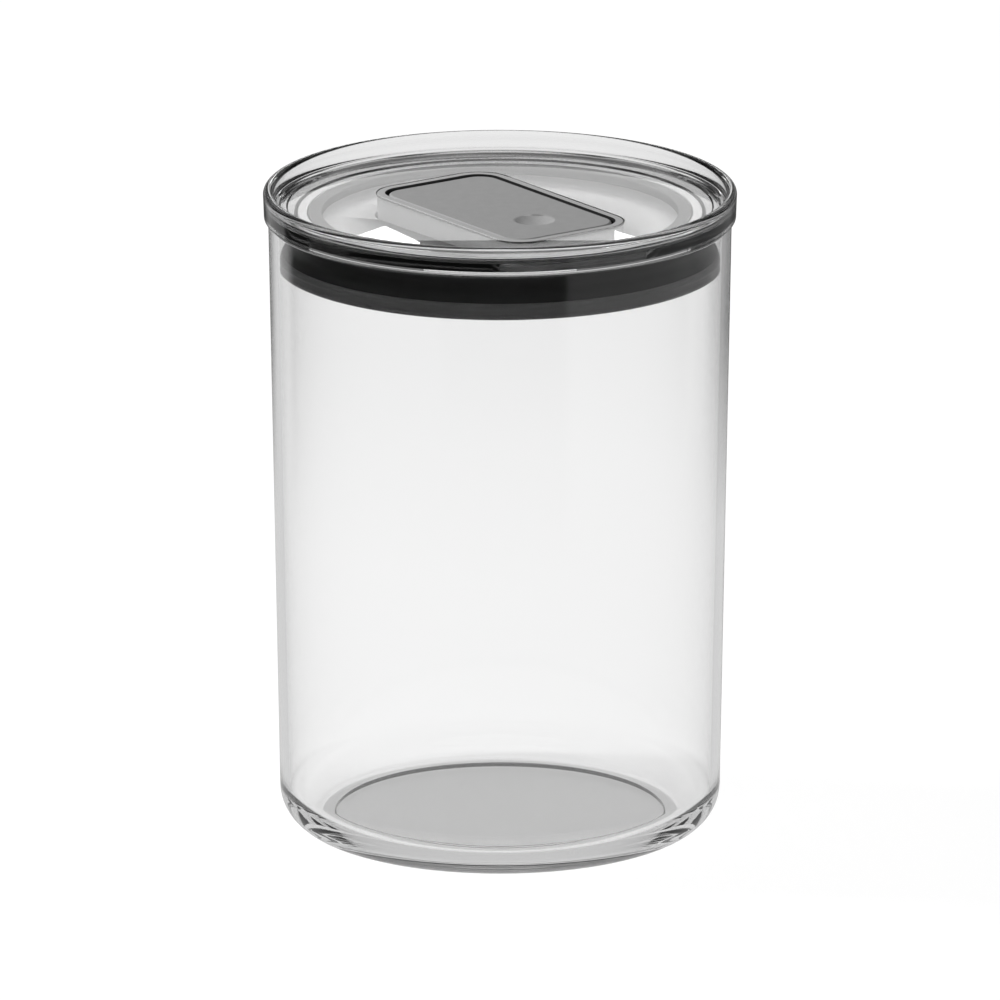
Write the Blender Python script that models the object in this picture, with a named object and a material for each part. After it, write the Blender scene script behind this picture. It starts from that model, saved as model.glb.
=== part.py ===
"""Clear storage jar with a flip lever lid.

The foot stands on z = 0 and the jar's axis is Z. The lever lies along Y, and its
pressing end, with the finger dimple, points to -Y. Pressing that end tips the lever
about its pin, lets the pressure plate sink and so relaxes the seal.
"""

import math

import bmesh
import bpy
from mathutils import Vector

mm = 0.001
degree = math.pi / 180

# How finely round pieces are cut
round_steps = 72
small_steps = 24
corner_steps = 5
cut_overrun = 1.0 * mm
smooth_angle = 35 * degree

# Clearances
seat_gap = 0.3 * mm
lever_side_gap = 0.7 * mm
lever_end_gap = 1.2 * mm
stem_gap = 0.4 * mm

# Jar
jar_height = 159.9 * mm
mouth_radius = 58.9 * mm
jar_taper = 2.8 * mm
jar_wall = 2.3 * mm
jar_floor = 3.0 * mm
foot_corner_radius = 10.5 * mm
floor_corner_radius = 8.5 * mm
foot_ring_width = 3.4 * mm
recess_depth = 1.2 * mm
recess_slope = 0.8 * mm
mouth_edge_radius = 0.5 * mm

# Lid cover
lid_overhang = 1.1 * mm
rim_height = 7.3 * mm
rim_wall = 2.3 * mm
rim_swell = 0.2 * mm
panel_drop = 4.8 * mm
panel_thickness = 2.0 * mm
rim_shelf_width = 3.8 * mm
step_width = 2.2 * mm
step_height = 0.4 * mm
flange_width = 4.6 * mm
flange_edge_radius = 0.4 * mm

# Seal and the ring that backs it
seal_height = 12.5 * mm
seal_wall_gap = 0.35 * mm
seal_width = 4.25 * mm
seal_body_wall = 1.2 * mm
seal_foot_height = 4.2 * mm
seal_bead_dip = 0.5 * mm
seal_edge_radius = 0.4 * mm
seal_groove_depth = 2.1 * mm
seal_under_lip = 1.0 * mm
retainer_width = 3.5 * mm
retainer_height = 2.2 * mm

# Pressure plate
plate_floor = 1.8 * mm
crown_width = 2.4 * mm
ledge_width = 2.2 * mm
plate_rim = 1.8 * mm
plate_sink = 3.2 * mm
deck_below_panel = 5.6 * mm
pocket_gap = 0.8 * mm

# Lever, its cam and its pin
lever_length = 59.5 * mm
lever_width = 32.7 * mm
lever_thickness = 3.4 * mm
lever_corner_radius = 5.6 * mm
lever_edge_radius = 0.7 * mm
lever_below_panel = 0.2 * mm
lever_tilt = 20 * degree
dimple_diameter = 10.6 * mm
dimple_depth = 1.0 * mm
dimple_from_centre = 15.1 * mm
pivot_from_centre = 6.0 * mm
pivot_below_lever = 3.0 * mm
pin_radius = 1.25 * mm
hub_radius = 2.5 * mm
ear_width = 3.0 * mm
cam_reach = 4.0 * mm
cam_offset = 2.45 * mm
cam_start_angle = 60 * degree

# Lever well
well_wall = 2.0 * mm
well_floor = 1.3 * mm
boss_length = 13.0 * mm

# Stem, its ring seal, washer and screw
stem_radius = 3.0 * mm
head_width = 10.4 * mm
head_radius = 2.45 * mm
head_neck = 3.1 * mm
ring_section = 1.6 * mm
ring_groove_height = 2.2 * mm
ring_from_boss_top = 0.8 * mm
screw_radius = 1.5 * mm
screw_head_radius = 3.4 * mm
screw_head_height = 1.8 * mm
screw_reach = 6.0 * mm
socket_radius = 1.5 * mm
socket_depth = 1.0 * mm
washer_width = 2.6 * mm
washer_height = 0.8 * mm

# Heights that follow
lid_bottom = jar_height + seat_gap
lid_top = lid_bottom + rim_height
panel_top = lid_top - panel_drop
panel_bottom = panel_top - panel_thickness
seal_top = panel_bottom - seat_gap
seal_bottom = seal_top - seal_height
groove_bottom = seal_bottom + seal_under_lip
rim_bottom = groove_bottom + seat_gap
rim_top = rim_bottom + plate_rim
groove_top = rim_top + seat_gap
plate_bottom = rim_bottom - plate_sink
plate_top = plate_bottom + plate_floor
deck_top = panel_bottom - deck_below_panel
retainer_top = seal_top - seat_gap
retainer_bottom = retainer_top - retainer_height
well_bottom = plate_top + seat_gap
well_inside = well_bottom + well_floor
lever_top = panel_top - lever_below_panel
lever_bottom = lever_top - lever_thickness
pivot_height = lever_bottom - pivot_below_lever
boss_top = pivot_height - cam_reach - seat_gap
pivot = Vector((0, -pivot_from_centre, pivot_height))

# Radii and widths that follow
foot_radius = mouth_radius - jar_taper
taper_slope = jar_taper / (jar_height - mouth_edge_radius - foot_corner_radius)
wall_radius_at_seal = foot_radius - jar_wall + taper_slope * (seal_bottom - foot_corner_radius)
seal_outer_radius = wall_radius_at_seal - seal_wall_gap
seal_inner_radius = seal_outer_radius - seal_width
lid_radius = mouth_radius + lid_overhang
panel_radius = lid_radius - rim_wall - rim_shelf_width
plate_rim_radius = seal_inner_radius + seal_groove_depth - seat_gap
plate_wall_radius = seal_inner_radius - seat_gap
crown_inner_radius = plate_wall_radius - crown_width
retainer_radius = crown_inner_radius - seat_gap
well_length = lever_length + 2 * lever_end_gap + 2 * well_wall
well_width = lever_width + 2 * lever_side_gap + 2 * well_wall
well_corner_radius = lever_corner_radius + lever_side_gap + well_wall
bore_radius = stem_radius + stem_gap
ring_radius = stem_radius + seat_gap + ring_section / 2
ring_groove_radius = ring_radius + ring_section / 2 + seat_gap
ear_start = head_width / 2 + seat_gap
boss_width = 2 * (ear_start + ear_width + seat_gap)
pin_length = 2 * (ear_start + ear_width + seat_gap)
pin_hole_radius = pin_radius + seat_gap
washer_top = plate_bottom - seat_gap
screw_head_top = washer_top - washer_height - seat_gap


def clear_scene():
    for thing in list(bpy.data.objects):
        bpy.data.objects.remove(thing, do_unlink=True)


def finish_mesh(name, bm):
    """Turn a bmesh into a named object with outward faces and smooth round sides."""
    bmesh.ops.remove_doubles(bm, verts=bm.verts, dist=0.01 * seat_gap)
    bmesh.ops.recalc_face_normals(bm, faces=bm.faces)
    mesh = bpy.data.meshes.new(name)
    bm.to_mesh(mesh)
    bm.free()
    mesh.shade_smooth()
    mesh.set_sharp_from_angle(angle=smooth_angle)
    thing = bpy.data.objects.new(name, mesh)
    bpy.context.scene.collection.objects.link(thing)
    return thing


def arc(centre, radius, start, end, steps=corner_steps):
    """Points on an arc, by angle from the first axis towards the second."""
    points = []
    for step in range(steps + 1):
        angle = start + (end - start) * step / steps
        points.append((centre[0] + radius * math.cos(angle), centre[1] + radius * math.sin(angle)))
    return points


def turned(name, outline, closed=False, steps=round_steps):
    """Turn an outline of (radius, height) points once about Z."""
    bm = bmesh.new()
    verts = [bm.verts.new((radius, 0, height)) for radius, height in outline]
    pairs = list(zip(verts, verts[1:]))
    if closed:
        pairs.append((verts[-1], verts[0]))
    edges = [bm.edges.new(pair) for pair in pairs]
    bmesh.ops.spin(
        bm,
        geom=verts + edges,
        cent=(0, 0, 0),
        axis=(0, 0, 1),
        angle=math.tau,
        steps=steps,
        use_merge=True,
    )
    return finish_mesh(name, bm)


def rounded_rectangle(width, length, radius):
    """Corners of a flat rounded rectangle about the origin, as (x, y) points."""
    points = []
    for quarter, (side_x, side_y) in enumerate(((1, 1), (-1, 1), (-1, -1), (1, -1))):
        centre = (side_x * (width / 2 - radius), side_y * (length / 2 - radius))
        start = quarter * math.pi / 2
        points += arc(centre, radius, start, start + math.pi / 2)
    return points


def prism(name, outline, bottom, top):
    """Raise a flat (x, y) outline from one height to another."""
    bm = bmesh.new()
    face = bm.faces.new([bm.verts.new((x, y, bottom)) for x, y in outline])
    grown = bmesh.ops.extrude_face_region(bm, geom=[face])
    moved = [item for item in grown["geom"] if isinstance(item, bmesh.types.BMVert)]
    bmesh.ops.translate(bm, verts=moved, vec=(0, 0, top - bottom))
    return finish_mesh(name, bm)


def cross_prism(name, outline, left, right):
    """Stretch a (y, z) outline along X from left to right."""
    bm = bmesh.new()
    face = bm.faces.new([bm.verts.new((left, y, z)) for y, z in outline])
    grown = bmesh.ops.extrude_face_region(bm, geom=[face])
    moved = [item for item in grown["geom"] if isinstance(item, bmesh.types.BMVert)]
    bmesh.ops.translate(bm, verts=moved, vec=(right - left, 0, 0))
    return finish_mesh(name, bm)


def circle(centre, radius, steps=small_steps):
    """Points round a circle, the first one half a step from the first axis."""
    start = math.pi / steps
    return arc(centre, radius, start, start + math.tau, steps)[:-1]


def combine(target, tool, operation):
    """Join or cut the target with a tool, which stays as a hidden guide."""
    modifier = target.modifiers.new(tool.name, "BOOLEAN")
    modifier.operation = operation
    modifier.object = tool
    modifier.solver = "EXACT"
    tool.hide_render = True
    tool.display_type = "WIRE"


def paint(thing, colour, roughness, metallic=0.0, alpha=1.0):
    material = bpy.data.materials.new(thing.name)
    material.use_nodes = True
    shader = material.node_tree.nodes["Principled BSDF"]
    shader.inputs["Base Color"].default_value = (*colour, 1)
    shader.inputs["Roughness"].default_value = roughness
    shader.inputs["Metallic"].default_value = metallic
    shader.inputs["Alpha"].default_value = alpha
    thing.data.materials.append(material)


def make_jar():
    """The turned jar: recessed foot, tapered wall and a plain mouth."""
    foot_flat_end = foot_radius - foot_corner_radius
    recess_radius = foot_flat_end - foot_ring_width
    inside_floor = recess_depth + jar_floor
    inner_foot_radius = foot_radius - jar_wall
    outer_corner = arc((foot_flat_end, foot_corner_radius), foot_corner_radius, -math.pi / 2, 0, 8)
    inner_centre = (inner_foot_radius - floor_corner_radius, inside_floor + floor_corner_radius)
    inner_corner = arc(inner_centre, floor_corner_radius, 0, -math.pi / 2, 8)
    mouth_inner_radius = mouth_radius - jar_wall
    mouth_edge = jar_height - mouth_edge_radius
    outline = [(0, recess_depth), (recess_radius - recess_slope, recess_depth), (recess_radius, 0)]
    outline += outer_corner
    outline += arc((mouth_radius - mouth_edge_radius, mouth_edge), mouth_edge_radius, 0, math.pi / 2, 2)
    outline += arc((mouth_inner_radius + mouth_edge_radius, mouth_edge), mouth_edge_radius,
                   math.pi / 2, math.pi, 2)
    outline += inner_corner
    outline.append((0, inside_floor))
    jar = turned("jar_body", outline)
    paint(jar, (0.9, 0.91, 0.92), 0.05, alpha=0.3)


def make_lid_cover():
    """The clear lid: a round rim, a flange on the mouth and a sunken panel."""
    rim_middle = lid_radius - rim_wall / 2
    rim_inner = lid_radius - rim_wall
    rim_round = rim_wall / 2 + rim_swell
    step_top = panel_top + 2 * step_height
    step_middle = panel_top + step_height
    rim_round_height = lid_top - rim_round
    plug_radius = lid_radius - flange_width
    outline = [(0, panel_bottom), (plug_radius, panel_bottom), (plug_radius, lid_bottom)]
    outline += arc((lid_radius - flange_edge_radius, lid_bottom + flange_edge_radius),
                   flange_edge_radius, -math.pi / 2, 0, 2)
    outline += arc((rim_middle, rim_round_height), rim_round, 0, math.pi, 8)
    outline.append((rim_inner, step_top))
    outline.append((panel_radius + step_width, step_top))
    outline.append((panel_radius + step_width - step_height, step_middle))
    outline.append((panel_radius + step_height, step_middle))
    outline.append((panel_radius, panel_top))
    outline.append((0, panel_top))
    lid = turned("lid_cover", outline)
    opening_outline = rounded_rectangle(
        well_width + 2 * seat_gap, well_length + 2 * seat_gap, well_corner_radius + seat_gap
    )
    opening = prism("lid_opening_cutter", opening_outline,
                    panel_bottom - cut_overrun, panel_top + cut_overrun)
    combine(lid, opening, "DIFFERENCE")
    paint(lid, (0.9, 0.91, 0.92), 0.04, alpha=0.3)


def make_seal():
    """The soft ring: a plain body that swells into a foot of two beads."""
    body_radius = seal_inner_radius + seal_body_wall
    foot_top = seal_bottom + seal_foot_height
    bead_radius = seal_foot_height / 4
    bead_centre_radius = seal_outer_radius - bead_radius
    flare_middle = (body_radius + bead_centre_radius) / 2
    outline = [(seal_inner_radius, seal_top)]
    outline += arc((body_radius - seal_edge_radius, seal_top - seal_edge_radius),
                   seal_edge_radius, math.pi / 2, 0, 2)
    outline.append((body_radius, foot_top + 2 * bead_radius))
    outline.append((body_radius + seal_edge_radius, foot_top + bead_radius))
    outline.append((flare_middle, foot_top + bead_radius / 4))
    outline += arc((bead_centre_radius, foot_top - bead_radius), bead_radius, math.pi / 2, -math.pi / 4, 4)
    outline.append((seal_outer_radius - seal_bead_dip, foot_top - 2 * bead_radius))
    outline += arc((bead_centre_radius, seal_bottom + bead_radius), bead_radius,
                   math.pi / 4, -math.pi / 2, 4)
    outline.append((seal_inner_radius + seal_groove_depth / 2, seal_bottom))
    outline.append((seal_inner_radius + seal_groove_depth / 2, groove_bottom))
    outline.append((seal_inner_radius + seal_groove_depth, groove_bottom))
    outline.append((seal_inner_radius + seal_groove_depth, groove_top))
    outline.append((seal_inner_radius, groove_top))
    seal = turned("seal_ring", outline, closed=True)
    paint(seal, (0.03, 0.03, 0.032), 0.35)


def make_retainer():
    """The grey ring that lies on the plate's ledge, inside its crown."""
    inner_radius = retainer_radius - retainer_width
    outline = [
        (inner_radius, retainer_bottom),
        (retainer_radius, retainer_bottom),
        (retainer_radius, retainer_top),
        (inner_radius, retainer_top),
    ]
    retainer = turned("seal_retainer", outline, closed=True)
    paint(retainer, (0.3, 0.3, 0.31), 0.5)


def make_plate():
    """The frosted plate: a deck, a crown inside the seal, a rim in its groove and a pocket for the tray."""
    ledge_top = retainer_bottom - seat_gap
    ledge_radius = crown_inner_radius - ledge_width
    plate = turned("pressure_plate", [
        (0, deck_top - plate_floor),
        (crown_inner_radius, deck_top - plate_floor),
        (crown_inner_radius, rim_bottom),
        (plate_rim_radius, rim_bottom),
        (plate_rim_radius, rim_top),
        (plate_wall_radius, rim_top),
        (plate_wall_radius, retainer_top),
        (crown_inner_radius, retainer_top),
        (crown_inner_radius, ledge_top),
        (ledge_radius, ledge_top),
        (ledge_radius, deck_top),
        (0, deck_top),
    ])
    pocket_width = well_width + 2 * pocket_gap
    pocket_length = well_length + 2 * pocket_gap
    pocket_corner_radius = well_corner_radius + pocket_gap
    shell_outline = rounded_rectangle(
        pocket_width + 2 * plate_floor, pocket_length + 2 * plate_floor, pocket_corner_radius + plate_floor
    )
    shell = prism("plate_pocket_guide", shell_outline, plate_bottom, deck_top - plate_floor / 2)
    combine(plate, shell, "UNION")
    pocket_outline = rounded_rectangle(pocket_width, pocket_length, pocket_corner_radius)
    pocket = prism("plate_pocket_cutter", pocket_outline, plate_top, deck_top + cut_overrun)
    combine(plate, pocket, "DIFFERENCE")
    hole_radius = screw_radius + seat_gap
    hole = prism("plate_hole_cutter", circle((0, pivot.y), hole_radius),
                 plate_bottom - cut_overrun, plate_top + cut_overrun)
    combine(plate, hole, "DIFFERENCE")
    paint(plate, (0.6, 0.6, 0.61), 0.2, alpha=0.8)


def make_well():
    """The tray under the lever, welded into the lid's opening, with a bored boss for the stem."""
    outer = rounded_rectangle(well_width, well_length, well_corner_radius)
    well = prism("lever_well", outer, well_bottom, panel_top)
    inner_outline = rounded_rectangle(
        well_width - 2 * well_wall, well_length - 2 * well_wall, well_corner_radius - well_wall
    )
    hollow = prism("well_hollow_cutter", inner_outline, well_inside, panel_top + cut_overrun)
    combine(well, hollow, "DIFFERENCE")
    boss_outline = rounded_rectangle(boss_width, boss_length, ear_width)
    boss_outline = [(x, y + pivot.y) for x, y in boss_outline]
    boss = prism("stem_boss_guide", boss_outline, well_bottom + well_floor / 2, boss_top)
    combine(well, boss, "UNION")
    groove_top_height = boss_top - ring_from_boss_top
    groove_bottom_height = groove_top_height - ring_groove_height
    bore = turned("stem_bore_cutter", [
        (0, well_bottom - cut_overrun),
        (bore_radius, well_bottom - cut_overrun),
        (bore_radius, groove_bottom_height),
        (ring_groove_radius, groove_bottom_height),
        (ring_groove_radius, groove_top_height),
        (bore_radius, groove_top_height),
        (bore_radius, boss_top + cut_overrun),
        (0, boss_top + cut_overrun),
    ], steps=small_steps)
    bore.location.y = pivot.y
    combine(well, bore, "DIFFERENCE")
    paint(well, (0.7, 0.7, 0.71), 0.3, alpha=0.6)


def make_stem_ring():
    """The small ring seal in the boss, round the stem."""
    height = boss_top - ring_from_boss_top - ring_groove_height / 2
    section = circle((ring_radius, height), ring_section / 2, 10)
    ring = turned("stem_ring", section, closed=True, steps=small_steps)
    ring.location.y = pivot.y
    paint(ring, (0.03, 0.03, 0.032), 0.4)


def make_stem():
    """The lifting stem: a bored rod whose cross head carries the lever pin."""
    stem_bottom = plate_top + seat_gap
    neck_bottom = pivot_height - head_neck
    stem_top = neck_bottom + head_neck / 4
    bore_top = stem_bottom + screw_reach - plate_floor
    stem = turned("lift_stem", [
        (0, stem_bottom),
        (stem_radius, stem_bottom),
        (stem_radius, stem_top),
        (0, stem_top),
    ], steps=small_steps)
    head_outline = arc((0, pivot_height), head_radius, 0, math.pi, 2 * corner_steps)
    head_outline += [(-head_radius, neck_bottom), (head_radius, neck_bottom)]
    head = cross_prism("stem_head_guide", head_outline, -head_width / 2, head_width / 2)
    combine(stem, head, "UNION")
    pin_hole = cross_prism("stem_pin_cutter", circle((0, pivot_height), pin_hole_radius),
                           -head_width, head_width)
    combine(stem, pin_hole, "DIFFERENCE")
    screw_hole = turned("stem_screw_cutter", [
        (0, stem_bottom - cut_overrun),
        (screw_radius + seat_gap, stem_bottom - cut_overrun),
        (screw_radius + seat_gap, bore_top),
        (0, bore_top),
    ], steps=small_steps)
    combine(stem, screw_hole, "DIFFERENCE")
    for thing in (stem, head, pin_hole, screw_hole):
        thing.location.y = pivot.y
    paint(stem, (0.25, 0.25, 0.26), 0.45)


def make_lever():
    """The lever plate with its finger dimple and two cam ears."""
    carrier = bpy.data.objects.new("lever_axis", None)
    bpy.context.scene.collection.objects.link(carrier)
    carrier.location = pivot
    outline = rounded_rectangle(lever_width, lever_length, lever_corner_radius)
    lever = prism("lever", outline, lever_bottom, lever_top)
    edge = lever.modifiers.new("edge_rounding", "BEVEL")
    edge.width = lever_edge_radius
    edge.segments = 2
    edge.limit_method = "ANGLE"
    edge.angle_limit = math.pi / 3
    ball_radius = ((dimple_diameter / 2) ** 2 + dimple_depth ** 2) / (2 * dimple_depth)
    ball_height = lever_top - dimple_depth + ball_radius
    bowl_angle = math.asin(dimple_diameter / 2 / ball_radius)
    bowl = arc((0, ball_height), ball_radius, -math.pi / 2, -math.pi / 2 + 1.3 * bowl_angle)
    dimple = turned("dimple_cutter", bowl + [(0, bowl[-1][1])], steps=small_steps)
    dimple.location.y = -dimple_from_centre
    combine(lever, dimple, "DIFFERENCE")
    lobe_radius = cam_reach - cam_offset * math.cos(cam_start_angle)
    lobe_centre = (cam_offset * math.sin(cam_start_angle), -cam_offset * math.cos(cam_start_angle))
    ear_top = pivot_below_lever + lever_thickness / 2
    turn = math.atan2(lobe_centre[1], lobe_centre[0])
    ear_outline = [(-hub_radius, ear_top)]
    ear_outline += arc((0, 0), hub_radius, -math.pi, -math.pi / 2 + turn / 2)
    ear_outline += arc(lobe_centre, lobe_radius, -math.pi / 2 + turn / 2, 0, 2 * corner_steps)
    ear_outline.append((lobe_centre[0] + lobe_radius, ear_top))
    tools = []
    for name, side in (("left", -1), ("right", 1)):
        inner = side * ear_start
        outer = side * (ear_start + ear_width)
        ear = cross_prism(f"lever_{name}_ear_guide", ear_outline, inner, outer)
        ear.location = pivot
        combine(lever, ear, "UNION")
        tools.append(ear)
    hole = cross_prism("lever_pin_cutter", circle((0, 0), pin_hole_radius), -pin_length, pin_length)
    hole.location = pivot
    combine(lever, hole, "DIFFERENCE")
    lever.parent = carrier
    lever.location = -pivot
    paint(lever, (0.3, 0.3, 0.31), 0.5)


def make_pin():
    """The steel pin through the lever's ears and the stem's head."""
    pin = cross_prism("lever_pin", circle((0, 0), pin_radius), -pin_length / 2, pin_length / 2)
    pin.location = pivot
    paint(pin, (0.6, 0.6, 0.62), 0.25, metallic=1.0)


def make_screw():
    """The screw from below that ties the plate to the stem, and its soft washer."""
    head_bottom = screw_head_top - screw_head_height
    screw_end = plate_bottom + screw_reach - seat_gap
    screw = turned("stem_screw", [
        (0, head_bottom),
        (screw_head_radius - seat_gap, head_bottom),
        (screw_head_radius, head_bottom + seat_gap),
        (screw_head_radius, screw_head_top),
        (screw_radius, screw_head_top),
        (screw_radius, screw_end),
        (0, screw_end),
    ], steps=small_steps)
    screw.location.y = pivot.y
    socket = prism("screw_socket_cutter", circle((0, 0), socket_radius, 6),
                   head_bottom - cut_overrun, head_bottom + socket_depth)
    socket.location.y = pivot.y
    combine(screw, socket, "DIFFERENCE")
    paint(screw, (0.6, 0.6, 0.62), 0.3, metallic=1.0)
    washer_inner = screw_radius + seat_gap
    washer_bottom = washer_top - washer_height
    washer = turned("screw_washer", [
        (washer_inner, washer_bottom),
        (washer_inner + washer_width, washer_bottom),
        (washer_inner + washer_width, washer_top),
        (washer_inner, washer_top),
    ], closed=True, steps=small_steps)
    washer.location.y = pivot.y
    paint(washer, (0.03, 0.03, 0.032), 0.4)


def main():
    clear_scene()
    make_jar()
    make_lid_cover()
    make_seal()
    make_retainer()
    make_plate()
    make_well()
    make_stem_ring()
    make_stem()
    make_lever()
    make_pin()
    make_screw()
    travel = cam_offset * (math.cos(cam_start_angle) - math.cos(cam_start_angle + lever_tilt))
    print("pivot", [round(value, 6) for value in pivot])
    print("plate travel", round(travel, 6), "ratio", round(-travel / lever_tilt, 6))
    print("panel top", round(panel_top, 6), "seal", round(seal_bottom, 6), round(seal_top, 6))
    print("well inside", round(well_inside, 6), "screw head", round(screw_head_top - screw_head_height, 6))


main()
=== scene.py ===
import math

import bmesh
import bpy
from mathutils import Matrix, Vector


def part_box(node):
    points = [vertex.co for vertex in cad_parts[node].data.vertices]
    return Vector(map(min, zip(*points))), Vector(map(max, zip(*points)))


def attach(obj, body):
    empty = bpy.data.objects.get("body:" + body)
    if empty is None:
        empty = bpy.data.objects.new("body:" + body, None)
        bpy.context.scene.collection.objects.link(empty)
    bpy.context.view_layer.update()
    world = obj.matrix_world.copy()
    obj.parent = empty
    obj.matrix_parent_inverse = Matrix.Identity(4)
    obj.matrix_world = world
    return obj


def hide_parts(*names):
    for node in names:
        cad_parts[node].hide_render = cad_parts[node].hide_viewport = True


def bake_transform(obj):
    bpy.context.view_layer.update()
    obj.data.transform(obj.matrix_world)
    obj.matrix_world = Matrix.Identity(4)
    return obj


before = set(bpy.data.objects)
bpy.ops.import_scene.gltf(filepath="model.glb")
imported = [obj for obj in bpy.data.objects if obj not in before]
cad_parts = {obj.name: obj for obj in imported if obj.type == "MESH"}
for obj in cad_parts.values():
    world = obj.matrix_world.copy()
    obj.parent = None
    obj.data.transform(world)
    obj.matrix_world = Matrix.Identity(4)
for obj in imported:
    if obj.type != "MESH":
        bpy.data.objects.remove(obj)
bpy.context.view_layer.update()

mm = 0.001
overcut = 1 * mm  # how far a cutting tool reaches past what it cuts
boxes = {name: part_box(name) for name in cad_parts}


# small helpers for outlines and bmesh pieces; lengths in the dictionaries are millimetres

meshSettings = {"turnSteps": 256, "toolSteps": 72, "mergeDistance": 0.001, "sameHeight": 0.0001,
                "sharpAngle": 32, "blockBevelSteps": 5}


def arcPoints(centre, radius, start, end, steps):
    # angles in degrees, from the first axis towards the second
    points = []
    for step in range(steps + 1):
        angle = math.radians(start + (end - start) * step / steps)
        points.append((centre[0] + radius * math.cos(angle), centre[1] + radius * math.sin(angle)))
    return points


def circlePoints(centre, radius, count):
    # a whole circle, without its first point at the end
    return arcPoints(centre, radius, 0, 360 - 360 / count, count - 1)


def roundCorner(before, corner, after, radius, steps):
    # replaces one corner of an outline by an arc that touches both of its sides
    here = Vector(corner)
    one = (Vector(before) - here).normalized()
    two = (Vector(after) - here).normalized()
    half = one.angle(two) / 2
    middle = here + (one + two).normalized() * radius / math.sin(half)
    first = here + one * radius / math.tan(half) - middle
    turn = one.angle_signed(two)
    sweep = (math.pi - abs(turn)) * (1 if turn > 0 else -1)
    points = []
    for step in range(steps + 1):
        spun = first.copy()
        spun.rotate(Matrix.Rotation(sweep * step / steps, 2))
        points.append(tuple(middle + spun))
    return points


def softOutline(corners, steps, closed=False):
    # corners are (radius, height, rounding); a rounding of zero keeps the corner
    points = []
    count = len(corners)
    for i, (x, z, rounding) in enumerate(corners):
        atEnd = not closed and i in (0, count - 1)
        if rounding == 0 or atEnd:
            points.append((x, z))
            continue
        before = corners[i - 1][:2]
        after = corners[(i + 1) % count][:2]
        points += roundCorner(before, (x, z), after, rounding, steps)
    return points


def pieceFromBmesh(name, bm):
    bmesh.ops.remove_doubles(bm, verts=bm.verts, dist=meshSettings["mergeDistance"] * mm)
    bmesh.ops.recalc_face_normals(bm, faces=bm.faces)
    mesh = bpy.data.meshes.new(name)
    bm.to_mesh(mesh)
    bm.free()
    piece = bpy.data.objects.new(name, mesh)
    bpy.context.scene.collection.objects.link(piece)
    shadeSmoothly(piece, meshSettings["sharpAngle"])
    return piece


def applyModifiers(piece):
    # turns what the modifiers make into the piece's own mesh
    graph = bpy.context.evaluated_depsgraph_get()
    mesh = bpy.data.meshes.new_from_object(piece.evaluated_get(graph))
    old = piece.data
    piece.modifiers.clear()
    piece.data = mesh
    bpy.data.meshes.remove(old)
    mesh.name = piece.name


def shadeSmoothly(piece, sharpAngle):
    # smooth shading in which wide flat faces stay flat up to their rounded edges
    piece.data.shade_smooth()
    piece.data.set_sharp_from_angle(angle=math.radians(sharpAngle))
    weigh = piece.modifiers.new("weigh_normals", "WEIGHTED_NORMAL")
    weigh.keep_sharp = True
    applyModifiers(piece)


def spinOutline(bm, outline, steps, closed=False):
    verts = [bm.verts.new((x, 0, z)) for x, z in outline]
    pairs = list(zip(verts, verts[1:]))
    if closed:
        pairs.append((verts[-1], verts[0]))
    edges = [bm.edges.new(pair) for pair in pairs]
    bmesh.ops.spin(bm, geom=verts + edges, cent=(0, 0, 0), axis=(0, 0, 1),
                   angle=math.tau, steps=steps, use_merge=True)


def turnPiece(name, outline, closed=False):
    bm = bmesh.new()
    spinOutline(bm, outline, meshSettings["turnSteps"], closed)
    return pieceFromBmesh(name, bm)


def roundedCorners(width, length, radius, steps):
    # the outline of a rectangle with round corners, seen from above
    points = []
    for quarter, (sideX, sideY) in enumerate(((1, 1), (-1, 1), (-1, -1), (1, -1))):
        centre = (sideX * (width / 2 - radius), sideY * (length / 2 - radius))
        points += arcPoints(centre, radius, quarter * 90, quarter * 90 + 90, steps)
    return points


def growFace(bm, corners, step):
    # extrudes one flat face by a step
    face = bm.faces.new([bm.verts.new(corner) for corner in corners])
    grown = bmesh.ops.extrude_face_region(bm, geom=[face])
    moved = [item for item in grown["geom"] if isinstance(item, bmesh.types.BMVert)]
    bmesh.ops.translate(bm, verts=moved, vec=step)


def raisedBlock(name, points, bottom, top, topRound=0, bottomRound=0):
    # an upright block from a flat outline, with its top and bottom edges rounded where asked
    bm = bmesh.new()
    growFace(bm, [(x, y, bottom) for x, y in points], (0, 0, top - bottom))
    for height, rounding in ((top, topRound), (bottom, bottomRound)):
        if rounding:
            rims = [edge for edge in bm.edges if all(
                abs(vert.co.z - height) < meshSettings["sameHeight"] * mm for vert in edge.verts)]
            bmesh.ops.bevel(bm, geom=rims, offset=rounding, affect="EDGES",
                            segments=meshSettings["blockBevelSteps"], profile=0.5, material=-1)
    return pieceFromBmesh(name, bm)


def turnedTool(name, outline, at, steps=meshSettings["toolSteps"]):
    # a tool turned round an upright axis at a place (x, y)
    bm = bmesh.new()
    spinOutline(bm, outline, steps)
    bmesh.ops.translate(bm, verts=bm.verts, vec=(at[0], at[1], 0))
    return pieceFromBmesh(name, bm)


def combine(piece, tool, operation):
    step = piece.modifiers.new(tool.name, "BOOLEAN")
    step.operation = operation
    step.solver = "EXACT"
    step.object = tool


def settleModifiers(piece, tools, sharpAngle=30):
    # applies the cuts and unions, shades the piece again and removes its tools
    applyModifiers(piece)
    shadeSmoothly(piece, sharpAngle)
    for tool in tools:
        bpy.data.objects.remove(tool)


def softenEdges(piece, width, angle, segments=3):
    soften = piece.modifiers.new("soften", "BEVEL")
    soften.width = width
    soften.segments = segments
    soften.limit_method = "ANGLE"
    soften.angle_limit = math.radians(angle)
    soften.use_clamp_overlap = True


# shader maths: a socket that understands + - *

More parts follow.
